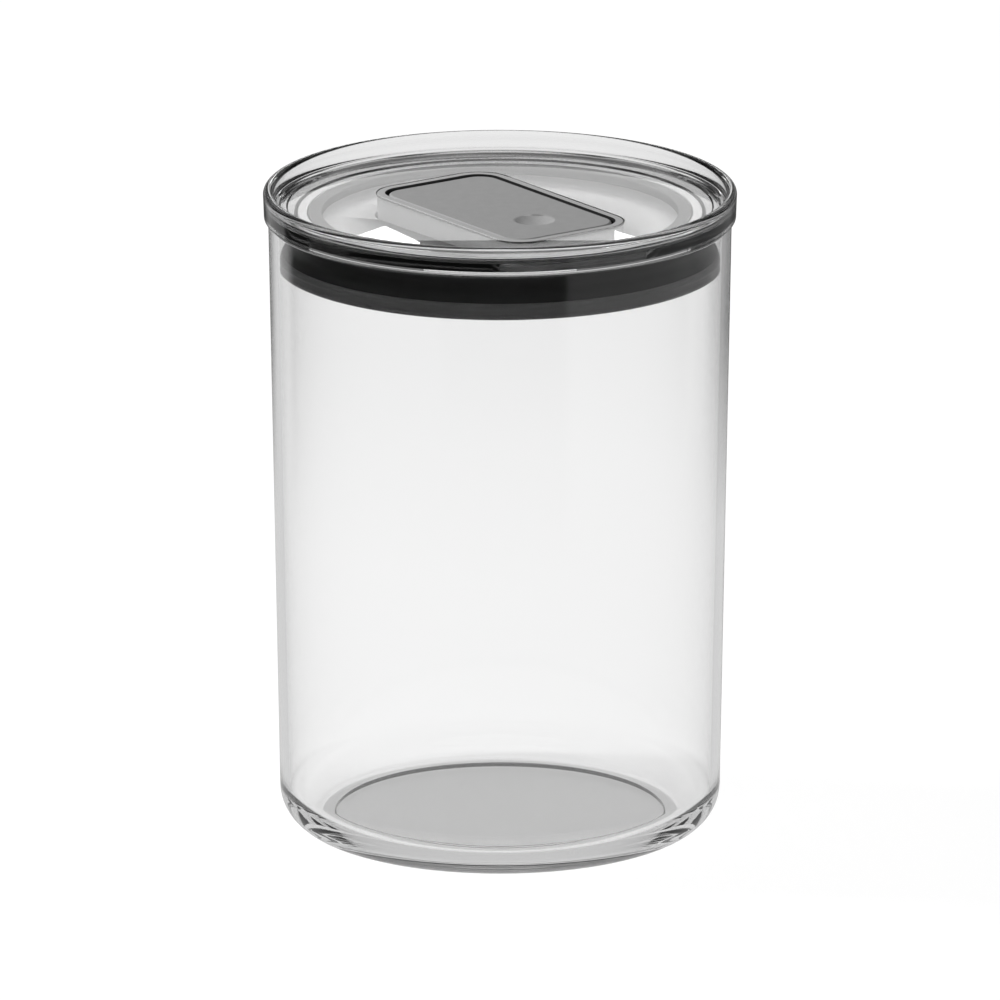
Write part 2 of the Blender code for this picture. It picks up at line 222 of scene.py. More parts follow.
class Sock:
    def __init__(self, tree, socket):
        self.tree = tree
        self.socket = socket

    def maths(self, operation, first, second):
        node = self.tree.nodes.new("ShaderNodeMath")
        node.operation = operation
        for place, value in zip(node.inputs, (first, second)):
            if isinstance(value, Sock):
                self.tree.links.new(value.socket, place)
            else:
                place.default_value = value
        return Sock(self.tree, node.outputs[0])

    def __add__(self, other): return self.maths("ADD", self, other)
    def __radd__(self, other): return self.maths("ADD", other, self)
    def __sub__(self, other): return self.maths("SUBTRACT", self, other)
    def __rsub__(self, other): return self.maths("SUBTRACT", other, self)
    def __mul__(self, other): return self.maths("MULTIPLY", self, other)
    def __rmul__(self, other): return self.maths("MULTIPLY", other, self)


class NodeBench:
    # makes the nodes of one tree: node() takes a type, its settings and then its sockets

    def __init__(self, tree):
        self.tree = tree

    def node(self, kind, settings=None, sockets=None, output=0):
        made = self.tree.nodes.new(kind)
        for key, value in (settings or {}).items():
            if key == "stops":
                ramp = made.color_ramp
                while len(ramp.elements) < len(value):
                    ramp.elements.new(1.0)
                for element, (place, level) in zip(ramp.elements, value):
                    element.position = place
                    element.color = (level, level, level, 1)
            else:
                setattr(made, key, value)
        for key, value in (sockets or {}).items():
            self.give(made.inputs[key], value)
        return Sock(self.tree, made.outputs[output])

    def give(self, socket, value):
        if isinstance(value, Sock):
            self.tree.links.new(value.socket, socket)
        else:
            socket.default_value = value

    def split(self, vector):
        made = self.node("ShaderNodeSeparateXYZ", sockets={"Vector": vector})
        return [Sock(self.tree, part) for part in made.socket.node.outputs]

    def length(self, vector):
        return self.node("ShaderNodeVectorMath", {"operation": "LENGTH"}, {0: vector}, output="Value")

    def above(self, value, edge):
        return self.node("ShaderNodeMath", {"operation": "GREATER_THAN"}, {0: value, 1: edge})

    def rescale(self, value, fromLow, fromHigh, toLow=0.0, toHigh=1.0):
        return self.node("ShaderNodeMapRange", sockets={
            "Value": value, "From Min": fromLow, "From Max": fromHigh, "To Min": toLow, "To Max": toHigh})

    def attribute(self, name):
        return self.node("ShaderNodeAttribute", {"attribute_name": name}, output="Fac")

    def ray(self, kind):
        return self.node("ShaderNodeLightPath", output="Is " + kind + " Ray")

    def studioRays(self):
        # sorts the rays that leave the object: refracted straight through plastic, mirrored once, or
        # mirrored again and again inside a wall; a refracted ray counts as glossy too
        depth = self.node("ShaderNodeLightPath", output="Glossy Depth")
        once = self.node("ShaderNodeMath", {"operation": "COMPARE"}, {0: depth, 1: 1.0, 2: 0.1})
        often = self.above(depth, 1.5)
        refracted = self.ray("Transmission")
        mirrored = self.ray("Glossy") * (1.0 - refracted) + refracted * once
        return refracted * (1.0 - once) * (1.0 - often), mirrored, refracted * often

    def ramp(self, value, stops):
        # a colour ramp holds no level over one, so it carries shares of the highest level
        peak = max(level for place, level in stops)
        shares = [(place, level / peak) for place, level in stops]
        return self.node("ShaderNodeValToRGB", {"stops": shares}, {"Fac": value}) * peak


class Paint(NodeBench):
    # one material with its Principled shader

    def __init__(self, name):
        self.material = bpy.data.materials.new(name)
        self.material.use_nodes = True
        super().__init__(self.material.node_tree)
        self.shader = self.tree.nodes["Principled BSDF"]
        self.output = self.tree.nodes["Material Output"]

    def where(self):
        return self.node("ShaderNodeTexCoord", output="Object")

    def noise(self, scale, detail=3.0, roughness=0.55, where=None):
        return self.node("ShaderNodeTexNoise", sockets={
            "Vector": where or self.where(), "Scale": scale, "Detail": detail, "Roughness": roughness})

    def stretched(self, scale):
        return self.node("ShaderNodeMapping", sockets={"Vector": self.where(), "Scale": scale})

    def spread(self, noise, low, high):
        # a noise lies mostly between 0.3 and 0.7
        return self.rescale(noise, 0.3, 0.7, low, high)

    def blendColours(self, factor, first, second):
        mix = self.node("ShaderNodeMix", {"data_type": "RGBA"}, {"Factor": factor}, output=2)
        node = mix.socket.node
        self.give(node.inputs[6], first)
        self.give(node.inputs[7], second)
        return mix

    def mixShaders(self, factor, first, second):
        mix = self.node("ShaderNodeMixShader", sockets={"Fac": factor})
        for place, shader in zip(mix.socket.node.inputs[1:], (first, second)):
            self.give(place, shader)
        return mix

    def mottled(self, factor, level, share):
        return self.blendColours(factor, grey(level * (1 - share)), grey(level * (1 + share)))

    def bump(self, height, strength, depth=0.2):
        return self.node("ShaderNodeBump", sockets={
            "Height": height, "Strength": strength, "Distance": depth * mm})

    def glow(self, strength):
        return self.node("ShaderNodeEmission", sockets={"Color": grey(1.0), "Strength": strength})

    def surface(self, **sockets):
        names = {"baseColor": "Base Color", "roughness": "Roughness", "metallic": "Metallic",
                 "ior": "IOR", "transmission": "Transmission Weight", "normal": "Normal",
                 "specular": "Specular IOR Level"}
        for key, value in sockets.items():
            self.give(self.shader.inputs[names[key]], value)


def grey(level):
    return (level, level, level, 1)


def dress(piece, material, body):
    piece.data.materials.clear()
    piece.data.materials.append(material)
    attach(piece, body)


# finishes

def clearPlastic(name, settings, paintedShadeFaces=None):
    # polished clear plastic with faint ripples and scuffs; paintedShadeFaces holds an attribute and a level,
    # and the faces the attribute marks are painted that dark grey as painted shade
    paint = Paint(name)
    tint = grey(settings["tint"])
    if paintedShadeFaces:
        attribute, level = paintedShadeFaces
        tint = paint.blendColours(paint.attribute(attribute), tint, grey(level))
    ripple = paint.noise(settings["rippleScale"], detail=2.0)
    scuffs = paint.noise(settings["scuffScale"], detail=5.0, roughness=0.6,
                         where=paint.stretched((1, 1, settings["scuffStretch"])))
    paint.surface(
        baseColor=tint,
        transmission=1.0,
        ior=settings["ior"],
        roughness=paint.spread(scuffs, settings["smoothest"], settings["roughest"]),
        normal=paint.bump(ripple, settings["rippleStrength"]),
    )
    smoke = paint.node("ShaderNodeVolumeAbsorption", sockets={
        "Color": grey(settings["smokeColour"]), "Density": settings["smoke"]})
    paint.give(paint.output.inputs["Volume"], smoke)
    return paint.material


lintSettings = {"cloudScale": 60, "lintScale": 900, "lintStrength": 0.08, "lintDepth": 0.1}


def siliconePaint(name, settings, footTop=None):
    # smoky silicone with a little lint; below footTop the foot is painted paler, painted light for the
    # brighter reflections it shows
    paint = Paint(name)
    cloud = paint.noise(lintSettings["cloudScale"])
    lint = paint.noise(lintSettings["lintScale"], detail=2.0)
    colour = paint.blendColours(paint.spread(cloud, 0, 1), grey(settings["dark"]), grey(settings["light"]))
    if footTop:
        height = paint.split(paint.where())[2]
        # painted light: the foot below footTop gets the paler colour
        colour = paint.blendColours(paint.above(height, footTop), grey(settings["foot"]), colour)
    paint.surface(
        baseColor=colour,
        roughness=paint.spread(cloud, settings["smoothest"], settings["roughest"]),
        normal=paint.bump(lint, lintSettings["lintStrength"], lintSettings["lintDepth"]),
        specular=settings["specular"],
    )
    return paint.material


def grainAndMottle(paint, settings):
    # fine spark-eroded grain, and the broad and fine parts of the colour's faint mottling
    grain = paint.noise(settings["grainScale"], detail=4.0, roughness=0.6)
    broad = paint.noise(settings["mottleScale"], roughness=0.5)
    return grain, paint.spread(broad * 0.5 + grain * 0.5, 0, 1)


def finishMoulded(paint, settings, colour, grain):
    paint.surface(
        baseColor=colour,
        roughness=paint.spread(grain, settings["smoothest"], settings["roughest"]),
        normal=paint.bump(grain, settings["grainStrength"]),
    )
    return paint.material


def mouldedPaint(name, settings, paintedLightParts=None):
    # matte moulded plastic; on the plate the crown, the pocket and the deck towards its wall are painted
    # paler: painted light that brightens the crown and takes the shade out of the pocket and the deck's
    # corner by its wall
    paint = Paint(name)
    grain, mottle = grainAndMottle(paint, settings)
    colour = paint.mottled(mottle, settings["level"], settings["mottle"])
    if paintedLightParts:
        crownFrom, deckTop, wall = paintedLightParts
        height = paint.split(paint.where())[2]
        radius = paint.length(paint.stretched((1, 1, 0)))
        nearWall = paint.rescale(radius, wall - settings["paintedLightWallFade"] * mm, wall)
        pale = paint.mottled(mottle, settings["paintedLightLevel"], settings["mottle"])
        colour = paint.blendColours(nearWall, colour, pale)
        colour = paint.blendColours(paint.above(height, deckTop), pale, colour)
        colour = paint.blendColours(paint.above(height, crownFrom), colour, pale)
    return finishMoulded(paint, settings, colour, grain)


def turnedSteel(name, settings):
    # steel with fine lines from the lathe
    paint = Paint(name)
    lines = paint.noise(settings["lineScale"], detail=2.0, roughness=0.5,
                        where=paint.stretched((1, 1, settings["lineStretch"])))
    paint.surface(
        baseColor=paint.blendColours(
            paint.spread(lines, 0, 1), grey(settings["dark"]), grey(settings["light"])),
        metallic=1.0,
        roughness=paint.spread(lines, settings["smoothest"], settings["roughest"]),
        normal=paint.bump(lines, settings["lineStrength"], settings["lineDepth"]),
    )
    return paint.material


# the jar: tapered wall, round foot corner, recess under the floor

jarSettings = {
    "taper": 2.8, "wall": 2.3, "floorTop": 4.2, "floorCorner": 8.5, "footCorner": 10.5,
    # the recess wall's level below is a painted shade, nearly black
    "recess": 1.2, "recessInset": 13.9, "recessSlope": 0.1, "recessPaintedShade": 0.0001, "recessUpright": 0.9,
    "recessMargin": 1.0, "mouthRound": 0.6, "stepRound": 0.25, "cornerSteps": 14,
    "plastic": {"tint": 0.99, "ior": 1.45, "smoothest": 0.0, "roughest": 0.012,
                "rippleScale": 40, "rippleStrength": 0.03, "scuffScale": 90, "scuffStretch": 6,
                "smoke": 5.0, "smokeColour": 0.2},
}


def makeJar(s):
    low, high = boxes["jar_body"]
    mouth = high.x
    foot = mouth - s["taper"] * mm
    wall = s["wall"] * mm
    recess = s["recess"] * mm
    recessRadius = foot - s["recessInset"] * mm
    outline = softOutline([
        (0, recess, 0),
        (recessRadius - s["recessSlope"] * mm, recess, s["stepRound"] * mm),
        (recessRadius, 0, s["stepRound"] * mm),
        (foot, 0, s["footCorner"] * mm),
        (mouth, high.z, s["mouthRound"] * mm),
        (mouth - wall, high.z, s["mouthRound"] * mm),
        (foot - wall, s["floorTop"] * mm, s["floorCorner"] * mm),
        (0, s["floorTop"] * mm, 0),
    ], s["cornerSteps"])
    jar = turnPiece("clear_jar", outline)
    # painted shade: the upright wall of the recess under the floor is painted nearly black, standing in for
    # the dark arc that light turning inside the plastic gives there
    marks = jar.data.attributes.new("recessWall", "FLOAT", "FACE")
    for face in jar.data.polygons:
        inRecess = face.center.z < recess and face.center.xy.length < recessRadius + s["recessMargin"] * mm
        if inRecess and abs(face.normal.z) < s["recessUpright"]:
            marks.data[face.index].value = 1.0
    dress(jar, clearPlastic("jarClear", s["plastic"], ("recessWall", s["recessPaintedShade"])), "jar")
    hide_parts("jar_body")


# the lid: bead rim, flange, steps and panel, with the opening for the tray

lidSettings = {
    "swell": 0.2, "rimWall": 2.3, "panelDrop": 4.8, "panelThickness": 2.0, "panelInset": 6.1,
    "flange": 4.6, "flangeRound": 0.4, "step": 0.4, "stepWidth": 2.2, "stepRound": 0.15, "rimFillet": 1.5,
    "openingGap": 0.3, "openingCorner": 8.6, "cornerSteps": 4, "flangeSteps": 5, "beadSteps": 20,
    "sharpAngle": 28,
    "plastic": {"tint": 0.985, "ior": 1.5, "smoothest": 0.0, "roughest": 0.01,
                "rippleScale": 60, "rippleStrength": 0.01, "scuffScale": 120, "scuffStretch": 1,
                "smoke": 45.0, "smokeColour": 0.2},
}


def makeLid(s):
    low, high = boxes["lid_cover"]
    wellLow, wellHigh = boxes["lever_well"]
    rim = high.x - s["swell"] * mm
    rimInner = rim - s["rimWall"] * mm
    panelTop = high.z - s["panelDrop"] * mm
    panelBottom = panelTop - s["panelThickness"] * mm
    panelRadius = rim - s["panelInset"] * mm
    beadRadius = (s["rimWall"] / 2 + s["swell"]) * mm
    plug = rim - s["flange"] * mm
    edge = s["flangeRound"] * mm
    step = s["step"] * mm
    stepRound = s["stepRound"] * mm
    outline = [(0, panelBottom), (plug, panelBottom), (plug, low.z)]
    outline += arcPoints((rim - edge, low.z + edge), edge, -90, 0, s["flangeSteps"])
    outline += arcPoints(
        (rim - s["rimWall"] * mm / 2, high.z - beadRadius), beadRadius, 0, 180, s["beadSteps"])
    outline += softOutline([
        (rimInner, high.z - beadRadius, 0),
        (rimInner, panelTop + 2 * step, s["rimFillet"] * mm),
        (panelRadius + s["stepWidth"] * mm, panelTop + 2 * step, stepRound),
        (panelRadius + s["stepWidth"] * mm - step, panelTop + step, stepRound),
        (panelRadius + step, panelTop + step, stepRound),
        (panelRadius, panelTop, stepRound),
        (0, panelTop, 0),
    ], s["cornerSteps"])
    lid = turnPiece("clear_lid", outline)
    gap = 2 * s["openingGap"] * mm
    opening = raisedBlock("lid_opening_tool", roundedCorners(
        wellHigh.x - wellLow.x + gap, wellHigh.y - wellLow.y + gap, s["openingCorner"] * mm, steps=12),
        panelBottom - overcut, panelTop + overcut)
    combine(lid, opening, "DIFFERENCE")
    settleModifiers(lid, [opening], s["sharpAngle"])
    dress(lid, clearPlastic("lidClear", s["plastic"]), "lid")
    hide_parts("lid_cover")


# the silicone seal: plain body, flare and a foot of two beads

sealSettings = {
    "width": 4.25, "body": 1.2, "footHeight": 4.2, "topWall": 0.5, "taper": 3.5, "topRound": 0.2,
    "flareRound": 4.0, "flareRise": 2.31, "beadOverlap": 30, "grooveLip": 1.0, "grooveTop": 3.4,
    "grooveDepth": 2.1, "cornerSteps": 8, "beadSteps": 10, "topSteps": 5,
    # the foot's level below is painted light, far paler than the body
    "silicone": {"dark": 0.006, "light": 0.009, "foot": 0.055, "smoothest": 0.3, "roughest": 0.42,
                 "specular": 0.12},
}


def makeSeal(s):
    low, high = boxes["seal_ring"]
    outer = high.x
    inner = outer - s["width"] * mm
    body = inner + s["body"] * mm
    footTop = low.z + s["footHeight"] * mm
    bead = s["footHeight"] * mm / 4  # the radius of each of the foot's two beads
    topRound = s["topRound"] * mm
    grooveWall = inner + s["grooveDepth"] * mm
    grooveBottom = low.z + s["grooveLip"] * mm
    grooveTop = low.z + s["grooveTop"] * mm
    overlap = s["beadOverlap"]
    outline = [(inner, high.z)]
    outline += arcPoints(
        (inner + s["topWall"] * mm - topRound, high.z - topRound), topRound, 90, 0, s["topSteps"])
    outline += softOutline([
        (body, high.z - s["taper"] * mm, 0),
        (body, footTop + s["flareRise"] * mm, s["flareRound"] * mm),
        (outer - bead, footTop, 0),
    ], s["cornerSteps"])
    outline += arcPoints((outer - bead, footTop - bead), bead, 90, -overlap, s["beadSteps"])
    outline += arcPoints((outer - bead, low.z + bead), bead, overlap, -90, s["beadSteps"])
    outline += [
        (inner + bead, low.z),
        (inner + bead, grooveBottom),
        (grooveWall, grooveBottom),
        (grooveWall, grooveTop),
        (inner, grooveTop),
    ]
    seal = turnPiece("silicone_seal", outline, closed=True)
    seal.data.materials.append(siliconePaint("sealSilicone", s["silicone"], footTop))
    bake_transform(seal)
    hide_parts("seal_ring")


# the grey ring that keeps the seal upright

retainerSettings = {
    "width": 3.5, "edge": 0.35, "cornerSteps": 6,
    "plastic": {"level": 0.26, "mottle": 0.03, "grainScale": 900, "mottleScale": 120,
                "smoothest": 0.45, "roughest": 0.55, "grainStrength": 0.1},
}


def makeRetainer(s):
    low, high = boxes["seal_retainer"]
    outer = high.x
    inner = outer - s["width"] * mm
    edge = s["edge"] * mm
    outline = softOutline([
        (inner, low.z, edge), (outer, low.z, edge), (outer, high.z, edge), (inner, high.z, edge),
    ], s["cornerSteps"], closed=True)
    ring = turnPiece("retaining_ring", outline, closed=True)
    dress(ring, mouldedPaint("retainerGrey", s["plastic"]), "plate")
    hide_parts("seal_retainer")


# the frosted plate: deck, crown inside the seal, rim in its groove, pocket for the tray

plateSettings = {
    "grooveDepth": 2.1, "crown": 2.4, "ledge": 2.2, "ledgeTop": 11.6, "rimBottom": 3.2, "rimTop": 5.0,
    "deckTop": 9.1, "floor": 1.8, "edge": 0.3, "deckFillet": 1.0,
    "pocketGap": 0.8, "pocketCorner": 9.1, "pocketRound": 1.2,
    "hole": 1.8, "holeAt": -6.0, "cornerSteps": 6, "pocketSteps": 14, "holeSteps": 48,
    # the plastic's second, paler level and its fade width are painted light on the crown, the pocket and the
    # deck near its wall
    "plastic": {"level": 0.66, "paintedLightLevel": 0.87, "paintedLightWallFade": 9, "mottle": 0.02, "grainScale": 1200,
                "mottleScale": 90, "smoothest": 0.4, "roughest": 0.5, "grainStrength": 0.08},
}


def makePlate(s):
    low, high = boxes["pressure_plate"]
    wellLow, wellHigh = boxes["lever_well"]
    rim = high.x
    wallOuter = rim - s["grooveDepth"] * mm
    crownInner = wallOuter - s["crown"] * mm
    ledgeInner = crownInner - s["ledge"] * mm
    ledgeTop = low.z + s["ledgeTop"] * mm
    rimBottom = low.z + s["rimBottom"] * mm
    rimTop = low.z + s["rimTop"] * mm
    deckTop = low.z + s["deckTop"] * mm
    floor = s["floor"] * mm
    edge = s["edge"] * mm
    outline = softOutline([
        (0, deckTop - floor, 0),
        (crownInner, deckTop - floor, s["deckFillet"] * mm),
        (crownInner, rimBottom, edge),
        (rim, rimBottom, edge),
        (rim, rimTop, edge),
        (wallOuter, rimTop, 0),
        (wallOuter, high.z, edge),
        (crownInner, high.z, edge),
        (crownInner, ledgeTop, 0),
        (ledgeInner, ledgeTop, edge),
        (ledgeInner, deckTop, s["deckFillet"] * mm),
        (0, deckTop, 0),
    ], s["cornerSteps"])
    plate = turnPiece("frosted_plate", outline)
    width = wellHigh.x - wellLow.x + 2 * s["pocketGap"] * mm
    length = wellHigh.y - wellLow.y + 2 * s["pocketGap"] * mm
    corner = s["pocketCorner"] * mm
    steps = s["pocketSteps"]
    shell = raisedBlock(
        "pocket_shell_tool", roundedCorners(width + 2 * floor, length + 2 * floor, corner + floor, steps),
        low.z, deckTop - floor / 2, bottomRound=s["pocketRound"] * mm)
    pocket = raisedBlock(
        "pocket_tool", roundedCorners(width, length, corner, steps),
        low.z + floor, deckTop + overcut, bottomRound=s["pocketRound"] * mm)
    hole = raisedBlock(
        "plate_hole_tool", circlePoints((0, s["holeAt"] * mm), s["hole"] * mm, s["holeSteps"]),
        low.z - overcut, low.z + floor + overcut)
    combine(plate, shell, "UNION")
    combine(plate, pocket, "DIFFERENCE")
    combine(plate, hole, "DIFFERENCE")
    settleModifiers(plate, [shell, pocket, hole])
    # the heights and the radius where the plate's painted light begins
    paintedLightParts = (ledgeTop + edge, deckTop - edge, ledgeInner)
    dress(plate, mouldedPaint("plateFrosted", s["plastic"], paintedLightParts), "plate")
    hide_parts("pressure_plate")


# the tray under the lever, with its bored boss

traySettings = {
    "corner": 8.3, "wall": 2.0, "floor": 1.3, "topRound": 0.25, "floorRound": 1.2,
    "bossWidth": 17.6, "bossLength": 13.0, "bossCorner": 3.0, "bossTop": 3.7, "bossAt": -6.0,
    "bore": 3.4, "groove": 5.2, "grooveTop": 0.8, "grooveHeight": 2.2,
    "bandHeight": 0.3, "facingUp": 0.3, "facingIn": 0.2, "cornerSteps": 14, "bossSteps": 8, "boreSteps": 48,
    # the hollow's level below is a painted shade, nearly black
    "plastic": {"level": 0.95, "bandLevel": 0.5, "hollowPaintedShadeLevel": 0.02, "mottle": 0.03, "grainScale": 1200,
                "mottleScale": 90, "smoothest": 0.3, "roughest": 0.42, "grainStrength": 0.08},
}


# what the attribute trayPart says of a face; the faces outside keep 0
bandMark = 1
hollowPaintedShadeMark = 2


def trayPaint(name, s):
    # light outside, grey on the upward faces along the top edge, and nearly black inside the hollow: painted
    # shade for the dark gap round the lever
    paint = Paint(name)
    grain, mottle = grainAndMottle(paint, s)
    part = paint.attribute("trayPart")
    side, band, hollow = [
        paint.mottled(mottle, s[key], s["mottle"]) for key in ("level", "bandLevel", "hollowPaintedShadeLevel")]
    outer = paint.blendColours(paint.above(part, bandMark - 0.5), side, band)
    colour = paint.blendColours(paint.above(part, hollowPaintedShadeMark - 0.5), outer, hollow)
    return finishMoulded(paint, s, colour, grain)


def markTray(tray, top, s):
    marks = tray.data.attributes.new("trayPart", "FLOAT", "FACE")
    for face in tray.data.polygons:
        centre, normal = face.center, face.normal
        inward = -normal.xy.dot(centre.xy) > s["facingIn"] * centre.xy.length
        upward = normal.z > s["facingUp"]
        if upward and centre.z > top - s["bandHeight"] * mm:
            marks.data[face.index].value = bandMark
        # the hollow's upward and inward faces carry the mark of the nearly black painted shade
        elif upward or inward:
            marks.data[face.index].value = hollowPaintedShadeMark


def makeTray(s):
    low, high = boxes["lever_well"]
    width, length = high.x - low.x, high.y - low.y
    corner = s["corner"] * mm
    wall = s["wall"] * mm
    steps = s["cornerSteps"]
    bossTop = low.z + s["bossTop"] * mm
    tray = raisedBlock("open_tray", roundedCorners(width, length, corner, steps), low.z, high.z,
                       topRound=s["topRound"] * mm, bottomRound=s["floorRound"] * mm)
    hollow = raisedBlock(
        "tray_hollow_tool", roundedCorners(width - 2 * wall, length - 2 * wall, corner - wall, steps),
        low.z + s["floor"] * mm, high.z + overcut, bottomRound=s["floorRound"] * mm)
    bossPoints = roundedCorners(
        s["bossWidth"] * mm, s["bossLength"] * mm, s["bossCorner"] * mm, s["bossSteps"])
    boss = raisedBlock("tray_boss_tool", [(x, y + s["bossAt"] * mm) for x, y in bossPoints],
                       low.z + s["floor"] * mm / 2, bossTop, topRound=s["topRound"] * mm)
    bore, groove = s["bore"] * mm, s["groove"] * mm
    grooveTop = bossTop - s["grooveTop"] * mm
    grooveBottom = grooveTop - s["grooveHeight"] * mm
    drill = turnedTool("tray_bore_tool", [
        (0, low.z - overcut), (bore, low.z - overcut), (bore, grooveBottom), (groove, grooveBottom),
        (groove, grooveTop), (bore, grooveTop), (bore, bossTop + overcut), (0, bossTop + overcut),
    ], at=(0, s["bossAt"] * mm), steps=s["boreSteps"])
    combine(tray, hollow, "DIFFERENCE")
    combine(tray, boss, "UNION")
    combine(tray, drill, "DIFFERENCE")
    settleModifiers(tray, [hollow, boss, drill])
    markTray(tray, high.z, s)
    dress(tray, trayPaint("trayFrosted", s["plastic"]), "lid")
    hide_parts("lever_well")


# the lever: rounded plate with a soft-edged finger dimple, and two cam ears below it

leverSettings = {
    "thickness": 3.4, "corner": 5.6, "edge": 0.7, "dimple": 5.3, "dimpleDepth": 1.0, "dimpleAt": -15.1,
    "dimpleSoft": 0.35, "dimpleSoftAngle": 13, "dimpleReach": 1.25, "pivotAt": -6.0, "pivotBelow": 3.0,
    "hub": 2.5, "pinHole": 1.55, "camReach": 4.0, "camOffset": 2.45, "camStart": 60,
    "earInner": 5.5, "earWidth": 3.0, "earRise": 1.0, "earSoft": 0.2, "earSoftAngle": 50,
    "cornerSteps": 14, "dimpleSteps": 14, "hubSteps": 12, "camSteps": 20, "holeSteps": 36, "sharpAngle": 40,
    "plastic": {"level": 0.385, "mottle": 0.07, "grainScale": 1500, "mottleScale": 350,
                "smoothest": 0.42, "roughest": 0.55, "grainStrength": 0.25},
}


def makeLever(s):
    low, high = boxes["lever"]
    lever = raisedBlock(
        "grey_lever",
        roundedCorners(high.x - low.x, high.y - low.y, s["corner"] * mm, s["cornerSteps"]),
        high.z - s["thickness"] * mm, high.z, topRound=s["edge"] * mm, bottomRound=s["edge"] * mm)
    # the dimple is a cap of a ball, and its tool reaches a little above the lever's face
    depth, radius = s["dimpleDepth"] * mm, s["dimple"] * mm
    ball = (radius ** 2 + depth ** 2) / (2 * depth)
    ballHeight = high.z - depth + ball
    sweep = s["dimpleReach"] * math.degrees(math.asin(radius / ball))
    bowl = arcPoints((0, ballHeight), ball, -90, -90 + sweep, s["dimpleSteps"])
    scoop = turnedTool("dimple_tool", bowl + [(0, bowl[-1][1])], at=(0, s["dimpleAt"] * mm))
    combine(lever, scoop, "DIFFERENCE")
    softenEdges(lever, s["dimpleSoft"] * mm, s["dimpleSoftAngle"])
    settleModifiers(lever, [scoop], s["sharpAngle"])
    return lever


def makeEar(name, s, side):
    # hub and cam lobe in one outline across the lever, with a hole for the pin
    low, high = boxes["lever"]
    pivotHeight = high.z - (s["thickness"] + s["pivotBelow"]) * mm
    start = math.radians(s["camStart"])
    lobe = (s["camReach"] - s["camOffset"] * math.cos(start)) * mm
    centre = (s["camOffset"] * math.sin(start) * mm, -s["camOffset"] * math.cos(start) * mm)
    lean = math.degrees(math.atan2(centre[1], centre[0])) / 2
    top = (s["pivotBelow"] + s["earRise"]) * mm
    points = [(-s["hub"] * mm, top)]
    points += arcPoints((0, 0), s["hub"] * mm, -180, -90 + lean, s["hubSteps"])
    points += arcPoints(centre, lobe, -90 + lean, 0, s["camSteps"])
    points.append((centre[0] + lobe, top))
    inner = side * s["earInner"] * mm
    bm = bmesh.new()
    growFace(bm, [(inner, y + s["pivotAt"] * mm, z + pivotHeight) for y, z in points],
             (side * s["earWidth"] * mm, 0, 0))
    ear = pieceFromBmesh(name, bm)
    drill = bmesh.new()
    hole = circlePoints((s["pivotAt"] * mm, pivotHeight), s["pinHole"] * mm, s["holeSteps"])
    growFace(drill, [(inner - side * overcut, y, z) for y, z in hole],
             (side * (s["earWidth"] * mm + 2 * overcut), 0, 0))
    tool = pieceFromBmesh("ear_hole_tool", drill)
    combine(ear, tool, "DIFFERENCE")
    softenEdges(ear, s["earSoft"] * mm, s["earSoftAngle"], segments=2)
    settleModifiers(ear, [tool])
    return ear


# camera, lights and floor; the camera's numbers are degrees and metres

cameraSettings = {"azimuth": -35.2, "elevation": 15.65, "distance": 5.0, "aimHeight": 0.0853,
                  "metresPerPixel": 0.0002551, "framePixels": 1000, "sensor": 36.0, "farthest": 50}


def aimAtAxis(thing, azimuth, elevation, distance, aimHeight):
    # puts a camera or lamp round the object and turns it to a point on the object's axis
    azimuth = math.radians(azimuth)
    elevation = math.radians(elevation)
    back = Vector((math.sin(azimuth) * math.cos(elevation), -math.cos(azimuth) * math.cos(elevation),
                   math.sin(elevation)))
    thing.location = Vector((0, 0, aimHeight)) + back * distance
    thing.rotation_euler = back.to_track_quat("Z", "Y").to_euler()
    bpy.context.scene.collection.objects.link(thing)


def makeCamera(s):
    camera = bpy.data.objects.new("camera", bpy.data.cameras.new("camera"))
    aimAtAxis(camera, s["azimuth"], s["elevation"], s["distance"], s["aimHeight"])
    camera.data.sensor_width = s["sensor"]
    camera.data.lens = s["sensor"] * s["distance"] / (s["framePixels"] * s["metresPerPixel"])
    camera.data.clip_end = s["farthest"]
    bpy.context.scene.camera = camera


# how bright the studio is to each kind of ray: the floor's reflection goes by the angle round the object,
# in degrees from the camera towards its right, and the room by the height of the ray's direction;
# the floor, the lamp and the flag are in metres, the cards in millimetres
studioSettings = {
    "white": 1.1, "whiteThroughPlastic": 1.03, "shadowShare": 0.14, "shadowShareThroughPlastic": 0.2,
    # a painted shadow: the floor under the jar, as rays through plastic see it
    "underJarRadius": 0.0455, "underJarPaintedShadowShare": 0.36,
    "floorRadius": 4.0, "floorBelow": 0.0002, "roundSides": 96, "floorColour": 0.9, "floorRoughness": 0.8,
    "nearFloor": 0.3, "farFloor": 0.5, "nearFloorReflected": 0.6,
    "floorReflected": [(-180, 0.1), (-160, 0.1), (-148, 0.6), (-128, 0.55), (-124, 0.04), (31, 0.04),
                       (34, 0.38), (104, 0.38), (112, 0.3), (145, 0.3), (155, 0.1), (180, 0.1)],
    "roomThroughPlastic": [(-1, 1.01), (0.6, 1.01), (0.65, 2.3), (1, 2.3)],
    "roomReflected": [(-1, 0.5), (0, 0.5), (0.1, 0.22), (1, 0.2)],
    "floorTrapped": 0.85, "roomTrapped": 0.8, "roomLight": 0.36,
    "keySize": 0.3, "keyPower": 18.0, "keyAzimuth": -100, "keyElevation": 25, "keyDistance": 1.2,
    "keyAimHeight": 0.15,
    "flagRadius": 0.33, "flagBottom": 0.185, "flagTop": 0.37, "flagLevel": 0.03,
    "paleCard": [(-70, 228), (70, 228), (70, 254), (-70, 254)],
    "paleCardLight": 1.15, "paleCardDistance": 310, "cardLight": 5.0, "cardDistance": 300,
    "cards": [[(-31, 247.3), (-21.8, 251.7), (-20.3, 256), (-20.3, 262), (-90, 262), (-58, 252), (-47, 249.6),
               (-38, 249.8)],
              [(31, 248.6), (41, 251.5), (75, 262), (30.7, 262)]],
}


